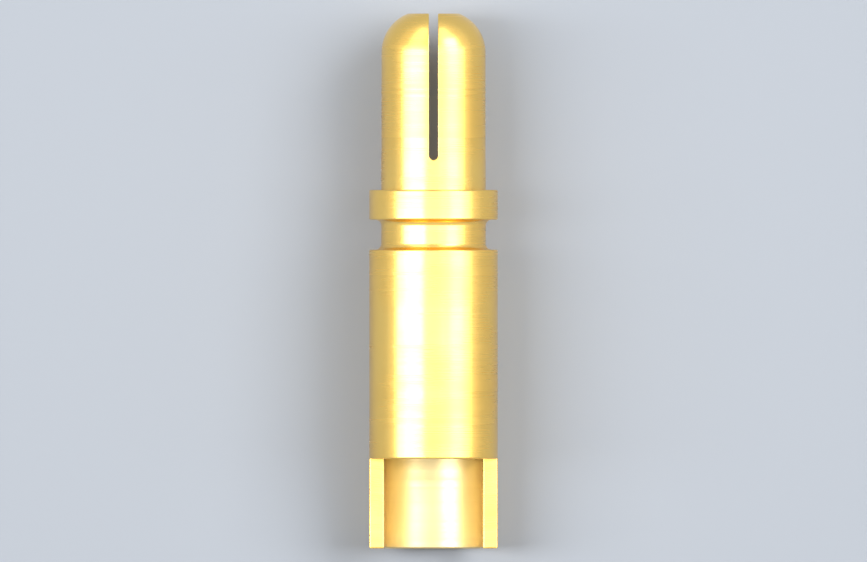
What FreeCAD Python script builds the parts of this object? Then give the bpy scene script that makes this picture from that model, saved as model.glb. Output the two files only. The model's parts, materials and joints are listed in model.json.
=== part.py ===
"""Slotted bullet contact for a battery lead, turned and milled from one piece of brass and gold plated.

All sizes are in millimetres. The contact lies on its side, as it comes to rest: its axis runs along Y,
the pin points to +Y, and the open side of the solder cup faces up, to +Z.
The origin is on the axis, in the plane of the shoulder that the pin stands on.
Seen from the tip, the contact is a pin, a flange, a snap groove and a barrel with a solder cup in its end.
"""

import FreeCAD
import Part
import math
import os

# Pin that goes into the socket, measured from the shoulder to the flat on its nose
pin_diameter = 3.5
pin_length = 5.9
nose_length = 1.3
nose_flat_diameter = 1.74

# Saw slots that part the pin into springy tines, each cut right across the pin with a full round end
slot_width = 0.3
slot_depth = 4.9
slots_across = 2

# Flange whose front face is the shoulder
flange_diameter = 4.3
flange_length = 1.0

# Groove that the housing's snap ring drops into
groove_diameter = 3.5
groove_length = 1.0
groove_corner_radius = 0.2

# Barrel that holds the wire
barrel_diameter = 4.3
barrel_length = 10.0

# Solder cup drilled into the barrel's tail
cup_diameter = 3.3
cup_depth = 8.0
drill_point_angle = 118.0

# Cutaway that opens the cup to the solder, above the plane at cutaway_height over the axis
cutaway_length = 3.0
cutaway_height = 0.0

# How far a cutting tool runs out past the metal
tool_clearance = 1.0

# Half sections are drawn halfway between the slots and below the cutaway, so no seam of a round face is cut
section_angle = -90 / slots_across

# Stations along the axis, from the tail to the tip
flange_rear = -flange_length
barrel_front = flange_rear - groove_length
tail = barrel_front - barrel_length

axis_point = FreeCAD.Vector(0, 0, 0)
axis = FreeCAD.Vector(0, 1, 0)
across = FreeCAD.Vector(1, 0, 0)


def section_point(radius, station):
    """A point of a half section, at a radius from the axis and a station along it."""
    angle = math.radians(section_angle)
    return FreeCAD.Vector(radius * math.cos(angle), station, radius * math.sin(angle))


def revolved(edges):
    """The solid that a closed half section sweeps in one turn about the axis."""
    return Part.Face(Part.Wire(edges)).revolve(axis_point, axis, 360)


def line(start, end):
    return Part.LineSegment(start, end).toShape()


def arc(start, middle, end):
    return Part.Arc(start, middle, end).toShape()


def nose_arc():
    """The nose's edge: an arc that leaves the side of the pin smoothly and ends at the nose's flat."""
    pin_radius = pin_diameter / 2
    inset = pin_radius - nose_flat_diameter / 2
    radius = (inset**2 + nose_length**2) / (2 * inset)
    centre_station = pin_length - nose_length
    half_turn = math.asin(nose_length / radius) / 2
    middle_radius = pin_radius - radius * (1 - math.cos(half_turn))
    middle_station = centre_station + radius * math.sin(half_turn)
    return arc(
        section_point(pin_radius, centre_station),
        section_point(middle_radius, middle_station),
        section_point(pin_radius - inset, pin_length),
    )


def groove_corner(side_station, towards_middle):
    """The fillet at one end of the groove, from the side wall to the groove's root."""
    root = groove_diameter / 2
    reach = groove_corner_radius
    bulge = reach * (1 - math.sqrt(0.5))
    return arc(
        section_point(root + reach, side_station),
        section_point(root + bulge, side_station + towards_middle * bulge),
        section_point(root, side_station + towards_middle * reach),
    )


def turned_blank():
    """Everything that the lathe makes on the outside, as one solid."""
    pin_radius = pin_diameter / 2
    flange_radius = flange_diameter / 2
    barrel_radius = barrel_diameter / 2
    root = groove_diameter / 2
    front_corner = groove_corner(flange_rear, -1)
    rear_corner = groove_corner(barrel_front, 1)
    fillet_top = root + groove_corner_radius
    return revolved(
        [
            line(section_point(0, tail), section_point(barrel_radius, tail)),
            line(section_point(barrel_radius, tail), section_point(barrel_radius, barrel_front)),
            line(section_point(barrel_radius, barrel_front), section_point(fillet_top, barrel_front)),
            rear_corner,
            line(
                section_point(root, barrel_front + groove_corner_radius),
                section_point(root, flange_rear - groove_corner_radius),
            ),
            front_corner,
            line(section_point(fillet_top, flange_rear), section_point(flange_radius, flange_rear)),
            line(section_point(flange_radius, flange_rear), section_point(flange_radius, 0)),
            line(section_point(flange_radius, 0), section_point(pin_radius, 0)),
            line(section_point(pin_radius, 0), section_point(pin_radius, pin_length - nose_length)),
            nose_arc(),
            line(section_point(nose_flat_diameter / 2, pin_length), section_point(0, pin_length)),
            line(section_point(0, pin_length), section_point(0, tail)),
        ]
    )


def slot_cutter():
    """The metal that one saw slot takes out: a slab with a full round end, right across the pin."""
    half_width = slot_width / 2
    bottom = pin_length - slot_depth
    round_centre = bottom + half_width
    open_end = pin_length + tool_clearance
    reach = pin_diameter / 2 + tool_clearance
    low_left = FreeCAD.Vector(-reach, round_centre, -half_width)
    low_right = FreeCAD.Vector(-reach, round_centre, half_width)
    high_left = FreeCAD.Vector(-reach, open_end, -half_width)
    high_right = FreeCAD.Vector(-reach, open_end, half_width)
    deepest = FreeCAD.Vector(-reach, bottom, 0)
    outline = Part.Wire(
        [
            arc(low_left, deepest, low_right),
            line(low_right, high_right),
            line(high_right, high_left),
            line(high_left, low_left),
        ]
    )
    return Part.Face(outline).extrude(across * (2 * reach))


def slot_cutters():
    """The slots, spaced evenly about the axis: two of them leave four tines."""
    cutters = []
    for index in range(slots_across):
        cutter = slot_cutter()
        cutter.rotate(axis_point, axis, index * 180 / slots_across)
        cutters.append(cutter)
    return cutters


def cup_cutter():
    """The drill that makes the solder cup, with its point."""
    cup_radius = cup_diameter / 2
    mouth = tail - tool_clearance
    floor = tail + cup_depth
    point = floor + cup_radius / math.tan(math.radians(drill_point_angle / 2))
    return revolved(
        [
            line(section_point(0, mouth), section_point(cup_radius, mouth)),
            line(section_point(cup_radius, mouth), section_point(cup_radius, floor)),
            line(section_point(cup_radius, floor), section_point(0, point)),
            line(section_point(0, point), section_point(0, mouth)),
        ]
    )


def cutaway_cutter():
    """The block milled off above the cutaway's plane, over the last stretch of the cup."""
    reach = barrel_diameter / 2 + tool_clearance
    corner = FreeCAD.Vector(-reach, tail - tool_clearance, cutaway_height)
    return Part.makeBox(2 * reach, cutaway_length + tool_clearance, reach, corner)


def bullet_contact():
    """The whole contact, cut from the turned blank."""
    contact = turned_blank().cut(slot_cutters() + [cup_cutter(), cutaway_cutter()])
    return contact.removeSplitter()


os.makedirs("parts", exist_ok=True)
part = bullet_contact()
part.exportStep("parts/bullet_contact.step")
print("bullet_contact: volume", round(part.Volume, 3), "mm3, solids", len(part.Solids), "valid", part.isValid())
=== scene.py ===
"""Looks of a bullet contact: the slotted, gold-plated plug on the end of a battery lead.

The contact lies on its side, as it comes to rest. Its axis runs along Y, its pin points to +Y, and the
open half of its solder cup faces up, to +Z. The origin is on the axis, in the plane of the shoulder.
Lengths are in metres. A point is often given as a radius from the axis, a turn about it and a station
along it, and a turn goes from +X towards -Z.
"""

import json
import math

import bmesh
import bpy
from bpy.props import FloatProperty, FloatVectorProperty, IntProperty, PointerProperty
from mathutils import Matrix, Vector


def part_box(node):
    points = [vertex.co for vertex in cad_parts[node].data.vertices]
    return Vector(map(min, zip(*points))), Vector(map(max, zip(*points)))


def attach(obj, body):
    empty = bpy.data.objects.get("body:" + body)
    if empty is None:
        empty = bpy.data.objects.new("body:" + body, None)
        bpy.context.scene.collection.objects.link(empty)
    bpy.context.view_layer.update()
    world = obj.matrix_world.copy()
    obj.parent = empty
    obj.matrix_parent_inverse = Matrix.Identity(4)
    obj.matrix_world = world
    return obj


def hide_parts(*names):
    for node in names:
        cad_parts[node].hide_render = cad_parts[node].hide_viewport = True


bl_info = {
    "name": "Bullet Contact",
    "version": (1, 0, 0),
    "blender": (4, 5, 0),
    "location": "3D View > Sidebar > Bullet Contact",
    "description": "Builds a slotted, gold-plated bullet contact with a half-open solder cup",
    "category": "Object",
}

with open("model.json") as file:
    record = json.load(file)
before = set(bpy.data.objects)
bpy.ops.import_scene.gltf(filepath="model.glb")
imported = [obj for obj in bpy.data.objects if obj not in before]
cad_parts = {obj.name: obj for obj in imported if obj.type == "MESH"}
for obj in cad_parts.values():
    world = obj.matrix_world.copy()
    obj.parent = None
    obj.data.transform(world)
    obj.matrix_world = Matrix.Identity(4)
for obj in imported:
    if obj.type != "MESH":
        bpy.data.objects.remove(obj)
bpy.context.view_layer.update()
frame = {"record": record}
TAIL_CORNER, TIP_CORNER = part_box("bullet_contact")
FITS = {mount["name"]: mount["dims"] for mount in frame["record"]["mounts"]}

MILLIMETRE = 0.001
QUARTER_TURN = math.pi / 2
EIGHTH_TURN = math.pi / 4
TINES = 4

# Points closer than this are one point
WELD_DISTANCE = 0.0001 * MILLIMETRE

# Steps in which the nose's arc, a groove's corner, a tine's straight part and a slot's wall are drawn
NOSE_STEPS = 20
CORNER_STEPS = 8
CLIMB_STEPS = 6
WALL_STEPS = 5

# Parts of the drill point's length at which its cone has a ring
CONE_PARTS = (0.0, 0.5, 0.9, 0.98, 1.0)

# Width of the narrow cells beside a slot's edge, which keep its rounding from spreading
EDGE_MARGIN = 0.06 * MILLIMETRE

# Edges that bend this much or more are marked sharp
SHARP_BEND = math.radians(30)

# Outer edges that bend more than this are rounded, in this many facets
CORNER_BEND = math.radians(15)
ROUNDING_FACETS = 3

# An edge belongs to the slots' crossing within this many times the crossing's reach
CROSSING_SLACK = 1.01

# Marks of each tool: coarse ones a millimetre, fine ones a millimetre, and their height
LATHE_MARKS = (2.5, 9.0, 0.0004 * MILLIMETRE)
DRILL_MARKS = (5.0, 14.0, 0.0005 * MILLIMETRE)
SAW_MARKS = (3.0, 11.0, 0.0004 * MILLIMETRE)

# Station of the saw's middle when a slot has its full depth
SAW_MIDDLE = 11.0 * MILLIMETRE

# Patches in the plating a millimetre
PATCH_SCALE = 0.4

# Detail of the noise that makes the marks, and of the noise that makes the patches
MARK_DETAIL = 1.0
PATCH_DETAIL = 2.0

# Span of the patches over which the gold goes from its light tone to its deep one
TONE_SPAN = (0.3, 0.7)

# Span of the patches times the marks over which the roughness goes from polish to haze
GLOSS_SPAN = (0.15, 0.4)

# A Mix node's sockets for colours, by place, because its sockets for numbers have the same names
MIX_FACTOR = 0
MIX_FIRST_COLOUR = 6
MIX_SECOND_COLOUR = 7
MIX_COLOUR_RESULT = 2

# A ray's diffuse depth counts the dull surfaces that it has met, and is less than this before the first
FIRST_BOUNCE = 0.5

FLOOR_REACH = 0.5
FLOOR_ROUGHNESS = 0.9
CAMERA_HEIGHT = 0.1
CAMERA_NEAREST = 0.001
PICTURE_WIDTH = 0.029008
LAMP_DISTANCE = 0.4

# Each lamp's name, its lean, breadth, reach back and reach ahead in degrees, and its brightness setting
LAMPS = (
    ("key", -43, 52, 6.5, 7.5, "key_brightness"),
    ("key core", -36, 34, 6.5, 7.5, "core_brightness"),
    ("top", 0, 30, 6.5, 7.5, "top_brightness"),
    ("fill", 42, 56, 6.5, 12, "fill_brightness"),
    ("fill core", 43, 24, 6.5, 12, "core_brightness"),
    ("front left", -38, 40, -7.5, 69, "front_brightness"),
    ("front right", 35, 38, -12, 69, "front_brightness"),
    ("accent", 42, 31, -13, 37, "accent_brightness"),
)


# Settings


def length(name, description, millimetres):
    """A property that holds a length in metres, with its default given in millimetres."""
    return FloatProperty(
        name=name,
        description=description,
        default=millimetres * MILLIMETRE,
        min=0.0,
        precision=5,
        unit="LENGTH",
    )


def angle(name, description, degrees):
    """A property that holds an angle in radians, with its default given in degrees."""
    return FloatProperty(
        name=name, description=description, default=math.radians(degrees), subtype="ANGLE"
    )


def colour(name, description, default):
    """A property that holds a linear colour."""
    return FloatVectorProperty(
        name=name, description=description, default=default, size=3, min=0.0, max=1.0, subtype="COLOR"
    )


def share(name, description, default):
    """A property that holds a share of one."""
    return FloatProperty(
        name=name, description=description, default=default, min=0.0, max=1.0, subtype="FACTOR"
    )


def lamp_brightness(name, description, default):
    """A property that holds how bright a lamp is for its size."""
    return FloatProperty(name=name, description=description, default=default, min=0.0)


class ContactSizes(bpy.types.PropertyGroup):
    """Sizes of the contact, and how finely its round faces are drawn."""

    pin_radius: length(
        "Pin radius", "Radius of the pin that goes into the socket", FITS["plug_pin"]["r_mm"]
    )
    pin_length: length("Pin length", "From the shoulder to the flat on the nose", TIP_CORNER.y / MILLIMETRE)
    straight_length: length(
        "Straight length", "From the shoulder to where the nose begins", FITS["plug_pin"]["length_mm"]
    )
    nose_flat_radius: length("Nose flat radius", "Radius of the flat that the nose ends in", 0.87)
    slot_width: length("Slot width", "Width of the saw slots that part the pin into tines", 0.3)
    slot_depth: length("Slot depth", "From the flat on the nose to the deepest point of a slot", 4.9)
    flange_length: length("Flange length", "From the shoulder to the snap groove", 1.0)
    groove_radius: length(
        "Groove radius", "Radius at the root of the snap groove", FITS["snap_groove"]["r_mm"]
    )
    groove_length: length("Groove length", "Width of the snap groove", FITS["snap_groove"]["length_mm"])
    groove_corner: length("Groove corner", "Radius of the fillets at the root of the snap groove", 0.2)
    barrel_radius: length("Barrel radius", "Radius of the barrel and of the flange", FITS["barrel"]["r_mm"])
    tail_station: length("Tail station", "From the shoulder back to the tail", -TAIL_CORNER.y / MILLIMETRE)
    cup_radius: length("Cup radius", "Radius of the solder cup's bore", FITS["solder_cup"]["r_mm"])
    cup_depth: length(
        "Cup depth", "From the tail to where the drill's point begins", FITS["solder_cup"]["length_mm"]
    )
    drill_point: angle("Drill point", "Angle of the drill's point at the bottom of the cup", 118.0)
    cutaway_length: length("Cutaway length", "How much of the cup is milled open at the tail", 3.0)
    rim_rounding: length("Rim rounding", "Width of the round edge on turned rims and milled edges", 0.05)
    tine_rounding: length(
        "Tine rounding", "Width of the round edge along the slots and the nose's flat", 0.03
    )
    facets: IntProperty(
        name="Facets", description="Facets in an eighth of a turn", default=16, min=4, max=64
    )


class PlatingFinish(bpy.types.PropertyGroup):
    """Colours and gloss of the gold plating."""

    light_tone: colour("Light tone", "Colour of the gold where the plating is brightest", (1.0, 0.67, 0.18))
    deep_tone: colour("Deep tone", "Colour of the gold where the plating is richest", (0.96, 0.6, 0.14))
    # The bore tones are darker and paler than the outside's: painted shade in the bore and the slots, which
    # also tones down the light bounced inside them
    recess_shade_light_tone: colour(
        "Bore light tone",
        "Colour of the shade_darkened gold in the bore and the slots where it is brightest",
        (0.76, 0.61, 0.31),
    )
    recess_shade_deep_tone: colour(
        "Bore deep tone",
        "Colour of the shade_darkened gold in the bore and the slots where it is richest",
        (0.68, 0.53, 0.25),
    )
    polish: share("Polish", "Roughness where the plating is smoothest", 0.22)
    haze: share("Haze", "Roughness where the plating is dullest", 0.32)
    bore_dullness: share("Bore dullness", "How much rougher the drilled bore is", 0.1)
    slot_dullness: share("Slot dullness", "How much rougher the sawn walls of the slots are", 0.3)


class StudioLook(bpy.types.PropertyGroup):
    """Floor, backdrop and lamps."""

    floor_colour: colour("Floor colour", "Colour of the pale floor", (0.51, 0.55, 0.61))
    backdrop_colour: colour(
        "Backdrop colour", "What the camera and the metal see of the room", (0.86, 0.88, 0.91)
    )
    key_brightness: lamp_brightness("Key brightness", "Brightness of the left strip light", 5.7)
    fill_brightness: lamp_brightness("Fill brightness", "Brightness of the right strip light", 2.7)
    core_brightness: lamp_brightness(
        "Core brightness", "Extra brightness of the middles of the two strip lights", 2.3
    )
    top_brightness: lamp_brightness("Top brightness", "Brightness of the light overhead", 2.1)
    front_brightness: lamp_brightness(
        "Front brightness", "Brightness of the lights ahead of the strip lights", 1.25
    )
    accent_brightness: lamp_brightness(
        "Accent brightness", "Brightness of the small light on the nose", 4.4
    )


# Node trees and modifiers


def add_tree(name, kind, inputs, outputs):
    """A new node tree with named inputs and outputs, each a name and a kind of socket, and the sockets
    that bring its inputs in."""
    tree = bpy.data.node_groups.new(name, kind)
    for in_out, sockets in (("INPUT", inputs), ("OUTPUT", outputs)):
        for socket_name, socket_kind in sockets.items():
            tree.interface.new_socket(socket_name, in_out=in_out, socket_type=socket_kind)
    return tree, tree.nodes.new("NodeGroupInput").outputs


def add_node(tree, kind, inputs=None, **options):
    """Add a node and set its options. Each of its inputs then gets a value, or a link from a socket or
    from the first output in use of another node."""
    node = tree.nodes.new(kind)
    for name, value in options.items():
        setattr(node, name, value)
    for key, value in (inputs or {}).items():
        if isinstance(value, bpy.types.Node):
            value = next(output for output in value.outputs if output.enabled)
        if isinstance(value, bpy.types.NodeSocket):
            tree.links.new(value, node.inputs[key])
        else:
            node.inputs[key].default_value = value
    return node


def finish_geometry(tree, shape, material):
    """End a shape's tree with real faces in one material."""
    real = add_node(tree, "GeometryNodeRealizeInstances", {"Geometry": shape})
    dressed = add_node(tree, "GeometryNodeSetMaterial", {"Geometry": real, "Material": material})
    add_node(tree, "NodeGroupOutput", {"Geometry": dressed})


def turned_form_tree():
    """Sweeps a drawn profile about the contact's axis, as a lathe does."""
    tree, given = add_tree(
        "Turned form",
        "GeometryNodeTree",
        {
            "Profile": "NodeSocketGeometry",
            "Segments": "NodeSocketInt",
            "First turn": "NodeSocketFloat",
            "Last turn": "NodeSocketFloat",
            "Material": "NodeSocketMaterial",
        },
        {"Geometry": "NodeSocketGeometry"},
    )
    drawn = add_node(
        tree, "GeometryNodeAttributeDomainSize", {"Geometry": given["Profile"]}, component="MESH"
    )
    stops = add_node(tree, "FunctionNodeIntegerMath", {0: given["Segments"], 1: 1}, operation="ADD")
    sheet = add_node(
        tree, "GeometryNodeMeshGrid", {"Vertices X": drawn.outputs["Point Count"], "Vertices Y": stops}
    )
    index = add_node(tree, "GeometryNodeInputIndex")
    drawn_index = add_node(tree, "FunctionNodeIntegerMath", {0: index, 1: stops}, operation="DIVIDE_FLOOR")
    stop_index = add_node(tree, "FunctionNodeIntegerMath", {0: index, 1: stops}, operation="MODULO")
    position = add_node(tree, "GeometryNodeInputPosition")
    drawn_point = add_node(
        tree,
        "GeometryNodeSampleIndex",
        {"Geometry": given["Profile"], "Value": position, "Index": drawn_index},
        data_type="FLOAT_VECTOR",
    )
    turn = add_node(
        tree,
        "ShaderNodeMapRange",
        {
            "Value": stop_index,
            "From Max": given["Segments"],
            "To Min": given["First turn"],
            "To Max": given["Last turn"],
        },
    )
    turned_point = add_node(
        tree, "ShaderNodeVectorRotate", {"Vector": drawn_point, "Angle": turn}, rotation_type="Y_AXIS"
    )
    form = add_node(tree, "GeometryNodeSetPosition", {"Geometry": sheet, "Position": turned_point})
    finish_geometry(tree, form, given["Material"])
    return tree


def tine_copies_tree():
    """Repeats one half of a tine and its mirror image round the contact's axis."""
    tree, given = add_tree(
        "Tines round the axis",
        "GeometryNodeTree",
        {"Half tine": "NodeSocketGeometry", "Tines": "NodeSocketInt", "Material": "NodeSocketMaterial"},
        {"Geometry": "NodeSocketGeometry"},
    )
    mirrored = add_node(
        tree, "GeometryNodeTransform", {"Geometry": given["Half tine"], "Scale": (1.0, 1.0, -1.0)}
    )
    turned_out = add_node(tree, "GeometryNodeFlipFaces", {"Mesh": mirrored})
    pair = add_node(tree, "GeometryNodeJoinGeometry", {"Geometry": given["Half tine"]})
    tree.links.new(turned_out.outputs["Mesh"], pair.inputs["Geometry"])
    spacing = add_node(tree, "ShaderNodeMath", {0: math.tau, 1: given["Tines"]}, operation="DIVIDE")
    index = add_node(tree, "GeometryNodeInputIndex")
    turn = add_node(tree, "ShaderNodeMath", {0: index, 1: spacing}, operation="MULTIPLY")
    rotation = add_node(tree, "FunctionNodeAxisAngleToRotation", {"Axis": (0.0, 1.0, 0.0), "Angle": turn})
    places = add_node(tree, "GeometryNodePoints", {"Count": given["Tines"]})
    copies = add_node(
        tree, "GeometryNodeInstanceOnPoints", {"Points": places, "Instance": pair, "Rotation": rotation}
    )
    finish_geometry(tree, copies, given["Material"])
    return tree


def placed(name, data):
    """A new object in the scene that holds a mesh, a lamp or a camera."""
    holder = bpy.data.objects.new(name, data)
    bpy.context.scene.collection.objects.link(holder)
    return holder


def plain_result(carrier):
    """The mesh that an object's modifiers leave, after which the object is removed."""
    evaluated = carrier.evaluated_get(bpy.context.evaluated_depsgraph_get())
    result = bpy.data.meshes.new_from_object(evaluated)
    drawn = carrier.data
    bpy.data.objects.remove(carrier)
    bpy.data.meshes.remove(drawn)
    return result


def grown(tree, drawn, **inputs):
    """The plain mesh that a geometry tree grows from a drawn one, with the tree's other inputs filled."""
    carrier = placed(drawn.name, drawn)
    modifier = carrier.modifiers.new(tree.name, "NODES")
    modifier.node_group = tree
    for item in tree.interface.items_tree:
        key = item.name.lower().replace(" ", "_")
        if key in inputs:
            modifier[item.identifier] = inputs[key]
    return plain_result(carrier)


# Shape of the contact


def drawn_profile(name, points):
    """A line in the half section to the contact's +X side, through points of a radius and a station."""
    mesh = bpy.data.meshes.new(name)
    corners = [(radius, station, 0.0) for radius, station in points]
    mesh.from_pydata(corners, [(step, step + 1) for step in range(len(points) - 1)], [])
    return mesh


def drawn_faces(name, points, faces):
    """A mesh of faces, each a list of places in the list of points."""
    mesh = bpy.data.meshes.new(name)
    mesh.from_pydata(points, [], faces)
    return mesh


def drawn_rows(name, rows):
    """A mesh of four-sided faces between rows of points."""
    across = len(rows[0])
    faces = [
        (first + column, first + column + 1, first + across + column + 1, first + across + column)
        for first in range(0, across * (len(rows) - 1), across)
        for column in range(across - 1)
    ]
    return drawn_faces(name, [point for row in rows for point in row], faces)


def arc(centre, radius, first, last, steps):
    """Points of an arc in the half section, both ends included."""
    bends = [first + (last - first) * step / steps for step in range(steps + 1)]
    return [(centre[0] + radius * math.cos(bend), centre[1] + radius * math.sin(bend)) for bend in bends]


def cutaway_station(sizes):
    """The station of the end face that the cutaway leaves."""
    return sizes.cutaway_length - sizes.tail_station


def nose_profile(sizes):
    """The nose's arc, which leaves the pin's side smoothly and ends at the rim of the flat."""
    inset = sizes.pin_radius - sizes.nose_flat_radius
    rise = sizes.pin_length - sizes.straight_length
    radius = (inset**2 + rise**2) / (2 * inset)
    centre = (sizes.pin_radius - radius, sizes.straight_length)
    return arc(centre, radius, 0.0, math.asin(rise / radius), NOSE_STEPS)


def outside_profile(sizes):
    """The shoulder, the flange, the snap groove and the round of the barrel up to the cutaway."""
    root = sizes.groove_radius
    corner = sizes.groove_corner
    front = -sizes.flange_length
    rear = front - sizes.groove_length
    front_corner = arc((root + corner, front - corner), corner, QUARTER_TURN, math.pi, CORNER_STEPS)
    rear_corner = arc((root + corner, rear + corner), corner, math.pi, 3 * QUARTER_TURN, CORNER_STEPS)
    return [
        (sizes.pin_radius, 0.0),
        (sizes.barrel_radius, 0.0),
        (sizes.barrel_radius, front),
        *front_corner,
        *rear_corner,
        (sizes.barrel_radius, rear),
        (sizes.barrel_radius, cutaway_station(sizes)),
    ]


def cup_profile(sizes):
    """The bore of the solder cup past the cutaway, and the cone that the drill's point leaves."""
    floor = sizes.cup_depth - sizes.tail_station
    cone_length = sizes.cup_radius / math.tan(sizes.drill_point / 2)
    cone = [(sizes.cup_radius * (1 - part), floor + cone_length * part) for part in CONE_PARTS]
    return [(sizes.cup_radius, cutaway_station(sizes)), *cone]


def tail_profile(sizes):
    """The half shell that the cutaway leaves, from the barrel's skin round the tail to the bore."""
    return [
        (sizes.barrel_radius, cutaway_station(sizes)),
        (sizes.barrel_radius, -sizes.tail_station),
        (sizes.cup_radius, -sizes.tail_station),
    ]


def open_cup_profile(sizes):
    """The part of the bore that the cutaway lays open."""
    return [(sizes.cup_radius, -sizes.tail_station), (sizes.cup_radius, cutaway_station(sizes))]


def skin_point(radius, place):
    """The point at a radius from the axis, where place is a turn and a station."""
    turn, station = place
    return Vector((radius * math.cos(turn), station, -radius * math.sin(turn)))


def skin_row(radius, slot_edge, beside_edge, far_end, cells):
    """A row of points on the pin's skin, from the slot's edge to a point of the half tine's far border."""
    row = [slot_edge]
    for step in range(cells + 1):
        part = step / cells
        row.append(tuple(near + (far - near) * part for near, far in zip(beside_edge, far_end)))
    return [skin_point(radius, place) for place in row]


def half_tine_skin(sizes):
    """Rows of points on the skin of one half of a tine, from the pin's foot to the rim of the nose's flat.
    The first rows fan out round the slot's end, and the others climb beside the slot."""
    half_slot = sizes.slot_width / 2
    edge_reaches = (half_slot, half_slot + EDGE_MARGIN)
    end_centre = sizes.pin_length - sizes.slot_depth + half_slot
    cells = sizes.facets
    foot = [(EIGHTH_TURN * step / cells, 0.0) for step in range(cells)]
    side = [(EIGHTH_TURN, end_centre * step / cells) for step in range(cells + 1)]
    rows = []
    for step, far_end in enumerate(foot + side):
        bend = QUARTER_TURN * (1 - step / (2 * cells))
        edges = [
            (math.asin(reach * math.cos(bend) / sizes.pin_radius), end_centre - reach * math.sin(bend))
            for reach in edge_reaches
        ]
        rows.append(skin_row(sizes.pin_radius, *edges, far_end, cells))
    climb = sizes.straight_length - end_centre
    straight = [
        (sizes.pin_radius, end_centre + climb * step / CLIMB_STEPS) for step in range(1, CLIMB_STEPS)
    ]
    for radius, station in straight + nose_profile(sizes):
        edges = [(math.asin(reach / radius), station) for reach in edge_reaches]
        rows.append(skin_row(radius, *edges, (EIGHTH_TURN, station), cells))
    return rows


def half_tine_wall(skin):
    """Rows of points on the slot's wall, from the skin's edge in to where the two slots cross."""
    rows = []
    for edge in (row[0] for row in skin):
        crossing = abs(edge.z)
        guard = edge.x - EDGE_MARGIN
        stops = [guard + (crossing - guard) * step / WALL_STEPS for step in range(WALL_STEPS + 1)]
        rows.append([Vector((x, edge.y, edge.z)) for x in [edge.x, *stops]])
    return rows


def tine_meshes(sizes, turned, sawn):
    """The skins, slot walls and end flats of all tines."""
    skin = half_tine_skin(sizes)
    wall = half_tine_wall(skin)
    flat = [*reversed(wall[-1]), *skin[-1][1:]]
    halves = [
        (drawn_rows("tine skin", skin), turned),
        (drawn_rows("slot wall", wall), sawn),
        (drawn_faces("nose flat", flat, [range(len(flat))]), turned),
    ]
    tree = tine_copies_tree()
    return [grown(tree, half, tines=TINES, material=material) for half, material in halves]


def round_meshes(sizes, turned, drilled, milled):
    """The round faces behind the pin, and the half-round end face that the cutaway leaves."""
    half_turn = 4 * sizes.facets
    full_turn = 2 * half_turn
    end_face = [(sizes.barrel_radius, cutaway_station(sizes)), (sizes.cup_radius, cutaway_station(sizes))]
    sweeps = [
        ("outside", outside_profile(sizes), full_turn, 0.0, math.tau, turned),
        ("cup", cup_profile(sizes), full_turn, 0.0, math.tau, drilled),
        ("tail", tail_profile(sizes), half_turn, 0.0, math.pi, turned),
        ("open cup", open_cup_profile(sizes), half_turn, 0.0, math.pi, drilled),
        ("end face", end_face, half_turn, math.pi, math.tau, milled),
    ]
    tree = turned_form_tree()
    return [
        grown(
            tree,
            drawn_profile(name, profile),
            segments=segments,
            first_turn=first_turn,
            last_turn=last_turn,
            material=material,
        )
        for name, profile, segments, first_turn, last_turn, material in sweeps
    ]


def cut_face_mesh(sizes, milled):
    """The two flat faces that the cutaway leaves along the cup's wall."""
    outline = [*tail_profile(sizes), open_cup_profile(sizes)[-1]]
    points = [(side * radius, station, 0.0) for side in (1, -1) for radius, station in outline]
    mesh = drawn_faces("cut faces", points, [(0, 1, 2, 3), (4, 5, 6, 7)])
    mesh.materials.append(milled)
    return mesh


def welded(name, sources):
    """One closed mesh of the sources, with all faces pointing outwards, and the materials it uses.
    A source has one material, in its last slot, because a tree's result keeps an empty slot before it."""
    whole = bmesh.new()
    materials = []
    for source in sources:
        material = source.materials[-1]
        if material not in materials:
            materials.append(material)
        known = set(whole.faces)
        whole.from_mesh(source)
        for face in set(whole.faces) - known:
            face.material_index = materials.index(material)
            face.smooth = True
        bpy.data.meshes.remove(source)
    bmesh.ops.remove_doubles(whole, verts=whole.verts, dist=WELD_DISTANCE)
    bmesh.ops.recalc_face_normals(whole, faces=whole.faces)
    if any(len(edge.link_faces) != 2 for edge in whole.edges):
        raise RuntimeError(f"{name} isn't closed")
    return whole, materials


def mark_corners(whole, sizes):
    """Mark the sharp edges of the mesh, and say how far each outer corner is rounded.
    The innermost corners of the tines, where the slots cross, stay sharp."""
    crossing_reach = CROSSING_SLACK * sizes.slot_width * math.sqrt(0.5)
    tine_weight = sizes.tine_rounding / sizes.rim_rounding
    weights = whole.edges.layers.float.new("bevel_weight_edge")
    for edge in whole.edges:
        bend = edge.calc_face_angle_signed()
        edge.smooth = abs(bend) < SHARP_BEND
        middle = (edge.verts[0].co + edge.verts[1].co) / 2
        if bend > CORNER_BEND and math.hypot(middle.x, middle.z) > crossing_reach:
            edge[weights] = tine_weight if middle.y > 0.0 else 1.0


def rounded(name, mesh, sizes):
    """The mesh with its marked corners rounded. Bevel's tolerances are made for larger parts, so it works
    on the mesh in millimetres."""
    mesh.transform(Matrix.Scale(1 / MILLIMETRE, 4))
    carrier = placed(name, mesh)
    bevel = carrier.modifiers.new("Rounded corners", "BEVEL")
    bevel.limit_method = "WEIGHT"
    bevel.width = sizes.rim_rounding / MILLIMETRE
    bevel.segments = ROUNDING_FACETS
    bevel.use_clamp_overlap = False
    flatten = carrier.modifiers.new("Flat faces stay flat", "WEIGHTED_NORMAL")
    flatten.mode = "FACE_AREA"
    flatten.keep_sharp = True
    result = plain_result(carrier)
    result.transform(Matrix.Scale(MILLIMETRE, 4))
    return result


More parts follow.
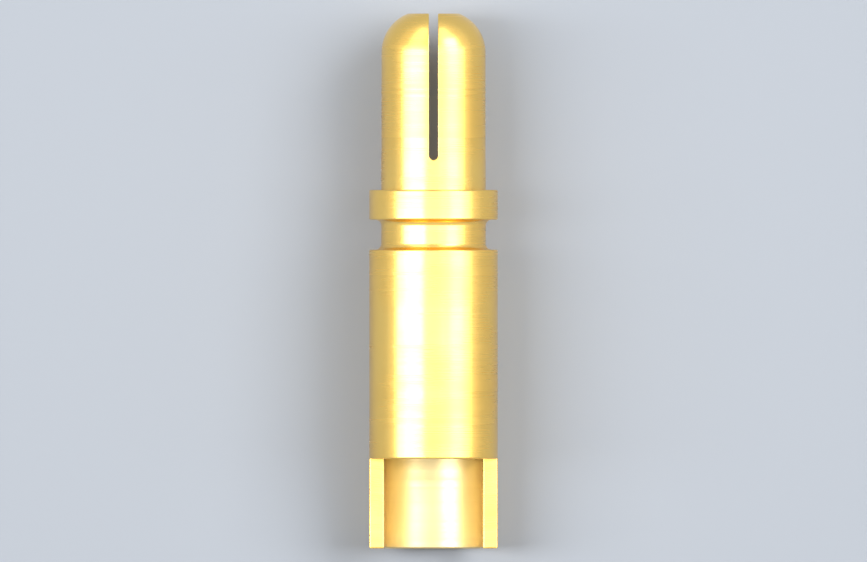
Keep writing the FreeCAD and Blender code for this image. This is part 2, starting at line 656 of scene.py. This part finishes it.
def contact_piece(sizes, finish):
    """The whole contact as one object in place."""
    turned = turned_gold(finish)
    drilled = drilled_gold(finish)
    milled = milled_gold(finish)
    sources = [
        *tine_meshes(sizes, turned, sawn_gold(finish)),
        *round_meshes(sizes, turned, drilled, milled),
        cut_face_mesh(sizes, milled),
    ]
    whole, materials = welded("gold_contact", sources)
    mark_corners(whole, sizes)
    mesh = bpy.data.meshes.new("gold_contact")
    whole.to_mesh(mesh)
    whole.free()
    for material in materials:
        mesh.materials.append(material)
    return placed("gold_contact", rounded("corners", mesh, sizes))


# Materials


def tool_marks_group():
    """Fine ridges of uneven height and spacing, across the way that a cutting tool travelled. Their height
    is the mean of a coarse and a fine pattern."""
    name = "Tool marks"
    if name in bpy.data.node_groups:
        return bpy.data.node_groups[name]
    tree, given = add_tree(
        name,
        "ShaderNodeTree",
        {"Travel": "NodeSocketFloat", "Coarse": "NodeSocketFloat", "Fine": "NodeSocketFloat"},
        {"Height": "NodeSocketFloat"},
    )
    coarse, fine = (
        add_node(
            tree,
            "ShaderNodeTexNoise",
            {"W": given["Travel"], "Scale": given[kind], "Detail": MARK_DETAIL},
            noise_dimensions="1D",
        )
        for kind in ("Coarse", "Fine")
    )
    both = add_node(tree, "ShaderNodeMath", {0: coarse, 1: fine}, operation="ADD")
    height = add_node(tree, "ShaderNodeMath", {0: both, 1: 0.5}, operation="MULTIPLY")
    add_node(tree, "NodeGroupOutput", {"Height": height})
    return tree


def plating_tone_group():
    """Soft patches in which the plating's colour deepens, and a gloss that follows them and the marks."""
    name = "Plating tone"
    if name in bpy.data.node_groups:
        return bpy.data.node_groups[name]
    tree, given = add_tree(
        name,
        "ShaderNodeTree",
        {
            "Place": "NodeSocketVector",
            "Marks": "NodeSocketFloat",
            "Light tone": "NodeSocketColor",
            "Deep tone": "NodeSocketColor",
            "Polish": "NodeSocketFloat",
            "Haze": "NodeSocketFloat",
        },
        {"Color": "NodeSocketColor", "Roughness": "NodeSocketFloat"},
    )
    patches = add_node(
        tree,
        "ShaderNodeTexNoise",
        {"Vector": given["Place"], "Scale": PATCH_SCALE, "Detail": PATCH_DETAIL},
    )
    depth = add_node(
        tree, "ShaderNodeMapRange", {"Value": patches, "From Min": TONE_SPAN[0], "From Max": TONE_SPAN[1]}
    )
    tone = add_node(
        tree,
        "ShaderNodeMix",
        {MIX_FACTOR: depth, MIX_FIRST_COLOUR: given["Light tone"], MIX_SECOND_COLOUR: given["Deep tone"]},
        data_type="RGBA",
    )
    dulling = add_node(tree, "ShaderNodeMath", {0: patches, 1: given["Marks"]}, operation="MULTIPLY")
    roughness = add_node(
        tree,
        "ShaderNodeMapRange",
        {
            "Value": dulling,
            "From Min": GLOSS_SPAN[0],
            "From Max": GLOSS_SPAN[1],
            "To Min": given["Polish"],
            "To Max": given["Haze"],
        },
    )
    add_node(tree, "NodeGroupOutput", {"Color": tone.outputs[MIX_COLOUR_RESULT], "Roughness": roughness})
    return tree


def gold_material(name, finish, tool_travel, tool_marks, dullness=0.0, recess_shade=False):
    """Gold plating over a tool's marks, with its patterns laid out in millimetres. The function tool_travel
    builds the node that says how far the tool has come."""
    coarse, fine, mark_height = tool_marks
    # In the bore and the slots the darker, paler bore tones are painted shade
    light_tone = finish.recess_shade_light_tone if recess_shade else finish.light_tone
    deep_tone = finish.recess_shade_deep_tone if recess_shade else finish.deep_tone
    material = bpy.data.materials.new(name)
    material.use_nodes = True
    tree = material.node_tree
    coordinates = add_node(tree, "ShaderNodeTexCoord")
    place = add_node(
        tree,
        "ShaderNodeMapping",
        {"Vector": coordinates.outputs["Object"], "Scale": [1 / MILLIMETRE] * 3},
    )
    marks = add_node(
        tree,
        "ShaderNodeGroup",
        {"Travel": tool_travel(tree, place), "Coarse": coarse, "Fine": fine},
        node_tree=tool_marks_group(),
    )
    tone = add_node(
        tree,
        "ShaderNodeGroup",
        {
            "Place": place,
            "Marks": marks,
            "Light tone": (*light_tone, 1.0),
            "Deep tone": (*deep_tone, 1.0),
            "Polish": finish.polish + dullness,
            "Haze": finish.haze + dullness,
        },
        node_tree=plating_tone_group(),
    )
    relief = add_node(tree, "ShaderNodeBump", {"Height": marks, "Distance": mark_height})
    surface = tree.nodes["Principled BSDF"]
    surface.inputs["Metallic"].default_value = 1.0
    tree.links.new(tone.outputs["Color"], surface.inputs["Base Color"])
    tree.links.new(tone.outputs["Roughness"], surface.inputs["Roughness"])
    tree.links.new(relief.outputs["Normal"], surface.inputs["Normal"])
    return material


def lathe_travel(tree, place):
    """How far along the axis and in towards it a lathe tool has come, so that its marks are rings."""
    parts = add_node(tree, "ShaderNodeSeparateXYZ", {"Vector": place})
    across = add_node(tree, "ShaderNodeVectorMath", {0: place, 1: (1.0, 0.0, 1.0)}, operation="MULTIPLY")
    radius = add_node(tree, "ShaderNodeVectorMath", {0: across}, operation="LENGTH")
    return add_node(
        tree, "ShaderNodeMath", {0: parts.outputs["Y"], 1: radius.outputs["Value"]}, operation="SUBTRACT"
    )


def saw_travel(tree, place):
    """Distance from the middle of the saw at the end of its cut, so that its marks are wide arcs."""
    middle = (0.0, SAW_MIDDLE / MILLIMETRE, 0.0)
    distance = add_node(tree, "ShaderNodeVectorMath", {0: place, 1: middle}, operation="DISTANCE")
    return distance.outputs["Value"]


def turned_gold(finish):
    """Gold over the lathe's rings, for the outside."""
    return gold_material("turned gold", finish, lathe_travel, LATHE_MARKS)


def drilled_gold(finish):
    """Duller gold over the drill's rings, for the bore, in darker, paler tones that paint shade into it."""
    return gold_material(
        "drilled gold", finish, lathe_travel, DRILL_MARKS, dullness=finish.bore_dullness, recess_shade=True
    )


def milled_gold(finish):
    """Gold over the mill's arcs, for the faces that the cutaway leaves."""
    return gold_material("milled gold", finish, saw_travel, SAW_MARKS)


def sawn_gold(finish):
    """Duller gold over the saw's arcs, for the walls of the slots, in darker, paler tones that paint shade
    into them.
    """
    return gold_material(
        "sawn gold", finish, saw_travel, SAW_MARKS, dullness=finish.slot_dullness, recess_shade=True
    )


# Stage


def pale_floor(look):
    """A wide pale floor under the lowest point of the contact."""
    material = bpy.data.materials.new("pale floor")
    material.use_nodes = True
    surface = material.node_tree.nodes["Principled BSDF"]
    surface.inputs["Base Color"].default_value = (*look.floor_colour, 1.0)
    surface.inputs["Roughness"].default_value = FLOOR_ROUGHNESS
    height = TAIL_CORNER.z
    corners = [
        (x * FLOOR_REACH, y * FLOOR_REACH, height) for x, y in ((-1, -1), (1, -1), (1, 1), (-1, 1))
    ]
    floor = placed("floor", drawn_faces("floor", corners, [(0, 1, 2, 3)]))
    floor.data.materials.append(material)
    return floor


def soft_light(name, lean, breadth, back, ahead, brightness):
    """A strip light far over the contact, in degrees as the contact sees it: how far it leans to the right
    of straight up, how broad it is, and how far it reaches back towards the tail and ahead of the tip."""
    first = -LAMP_DISTANCE * math.tan(math.radians(back))
    last = LAMP_DISTANCE * math.tan(math.radians(ahead))
    lean = math.radians(lean)
    lamp = bpy.data.lights.new(name, "AREA")
    lamp.shape = "RECTANGLE"
    lamp.size = 2 * LAMP_DISTANCE * math.tan(math.radians(breadth) / 2)
    lamp.size_y = last - first
    lamp.energy = brightness * math.pi * lamp.size * lamp.size_y
    light = placed(name, lamp)
    light.location = (LAMP_DISTANCE * math.sin(lean), (first + last) / 2, LAMP_DISTANCE * math.cos(lean))
    light.rotation_euler = (0.0, lean, 0.0)
    light.visible_camera = False


def studio_room(look):
    """A plain backdrop that the camera and the metal see. It gives no light, so the floor keeps its
    shadows."""
    world = bpy.data.worlds.new("studio")
    world.use_nodes = True
    tree = world.node_tree
    tree.nodes.clear()
    path = add_node(tree, "ShaderNodeLightPath").outputs
    seen = add_node(
        tree, "ShaderNodeMath", {0: path["Is Camera Ray"], 1: path["Is Glossy Ray"]}, operation="MAXIMUM"
    )
    seen = add_node(tree, "ShaderNodeMath", {0: seen, 1: path["Is Transmission Ray"]}, operation="MAXIMUM")
    direct = add_node(
        tree, "ShaderNodeMath", {0: path["Diffuse Depth"], 1: FIRST_BOUNCE}, operation="LESS_THAN"
    )
    strength = add_node(tree, "ShaderNodeMath", {0: seen, 1: direct}, operation="MULTIPLY")
    backdrop = add_node(
        tree, "ShaderNodeBackground", {"Color": (*look.backdrop_colour, 1.0), "Strength": strength}
    )
    add_node(tree, "ShaderNodeOutputWorld", {"Surface": backdrop})
    bpy.context.scene.world = world


def camera_above():
    """A camera that looks straight down, with the tip at the top and the whole contact in the picture."""
    camera = bpy.data.cameras.new("camera")
    camera.type = "ORTHO"
    camera.ortho_scale = PICTURE_WIDTH
    camera.clip_start = CAMERA_NEAREST
    holder = placed("camera", camera)
    holder.location = (0.0, (TAIL_CORNER.y + TIP_CORNER.y) / 2, CAMERA_HEIGHT)
    bpy.context.scene.camera = holder


# Operators and panel


class GoldContactOperator(bpy.types.Operator):
    """Build the gold-plated contact in place of its solid"""

    bl_idname = "bullet_contact.gold_contact"
    bl_label = "Gold contact"

    def execute(self, context):
        scene = context.scene
        piece = contact_piece(scene.contact_sizes, scene.contact_finish)
        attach(piece, "root")
        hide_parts("bullet_contact")
        return {"FINISHED"}


class StageOperator(bpy.types.Operator):
    """Build the floor, the backdrop, the lamps and the camera"""

    bl_idname = "bullet_contact.stage"
    bl_label = "Stage"

    def execute(self, context):
        look = context.scene.contact_studio
        pale_floor(look)
        studio_room(look)
        for name, lean, breadth, back, ahead, setting in LAMPS:
            soft_light(name, lean, breadth, back, ahead, getattr(look, setting))
        camera_above()
        context.scene.view_settings.view_transform = "Standard"
        return {"FINISHED"}


class BulletContactPanel(bpy.types.Panel):
    """Sizes, finish and studio of the bullet contact"""

    bl_idname = "VIEW3D_PT_bullet_contact"
    bl_label = "Bullet Contact"
    bl_space_type = "VIEW_3D"
    bl_region_type = "UI"
    bl_category = "Bullet Contact"

    def draw(self, context):
        scene = context.scene
        for settings in (scene.contact_sizes, scene.contact_finish, scene.contact_studio):
            box = self.layout.box()
            for name in settings.__annotations__:
                box.prop(settings, name)
        for operator in (GoldContactOperator, StageOperator):
            self.layout.operator(operator.bl_idname)


CLASSES = (ContactSizes, PlatingFinish, StudioLook, GoldContactOperator, StageOperator, BulletContactPanel)


def register():
    """Make the settings, the operators and the panel known."""
    for kind in CLASSES:
        bpy.utils.register_class(kind)
    bpy.types.Scene.contact_sizes = PointerProperty(type=ContactSizes)
    bpy.types.Scene.contact_finish = PointerProperty(type=PlatingFinish)
    bpy.types.Scene.contact_studio = PointerProperty(type=StudioLook)


def unregister():
    """Take away what register made known."""
    del bpy.types.Scene.contact_studio
    del bpy.types.Scene.contact_finish
    del bpy.types.Scene.contact_sizes
    for kind in reversed(CLASSES):
        bpy.utils.unregister_class(kind)


def main():
    """Build everything."""
    register()
    bpy.ops.bullet_contact.gold_contact()
    bpy.ops.bullet_contact.stage()


if __name__ == "__main__":
    main()
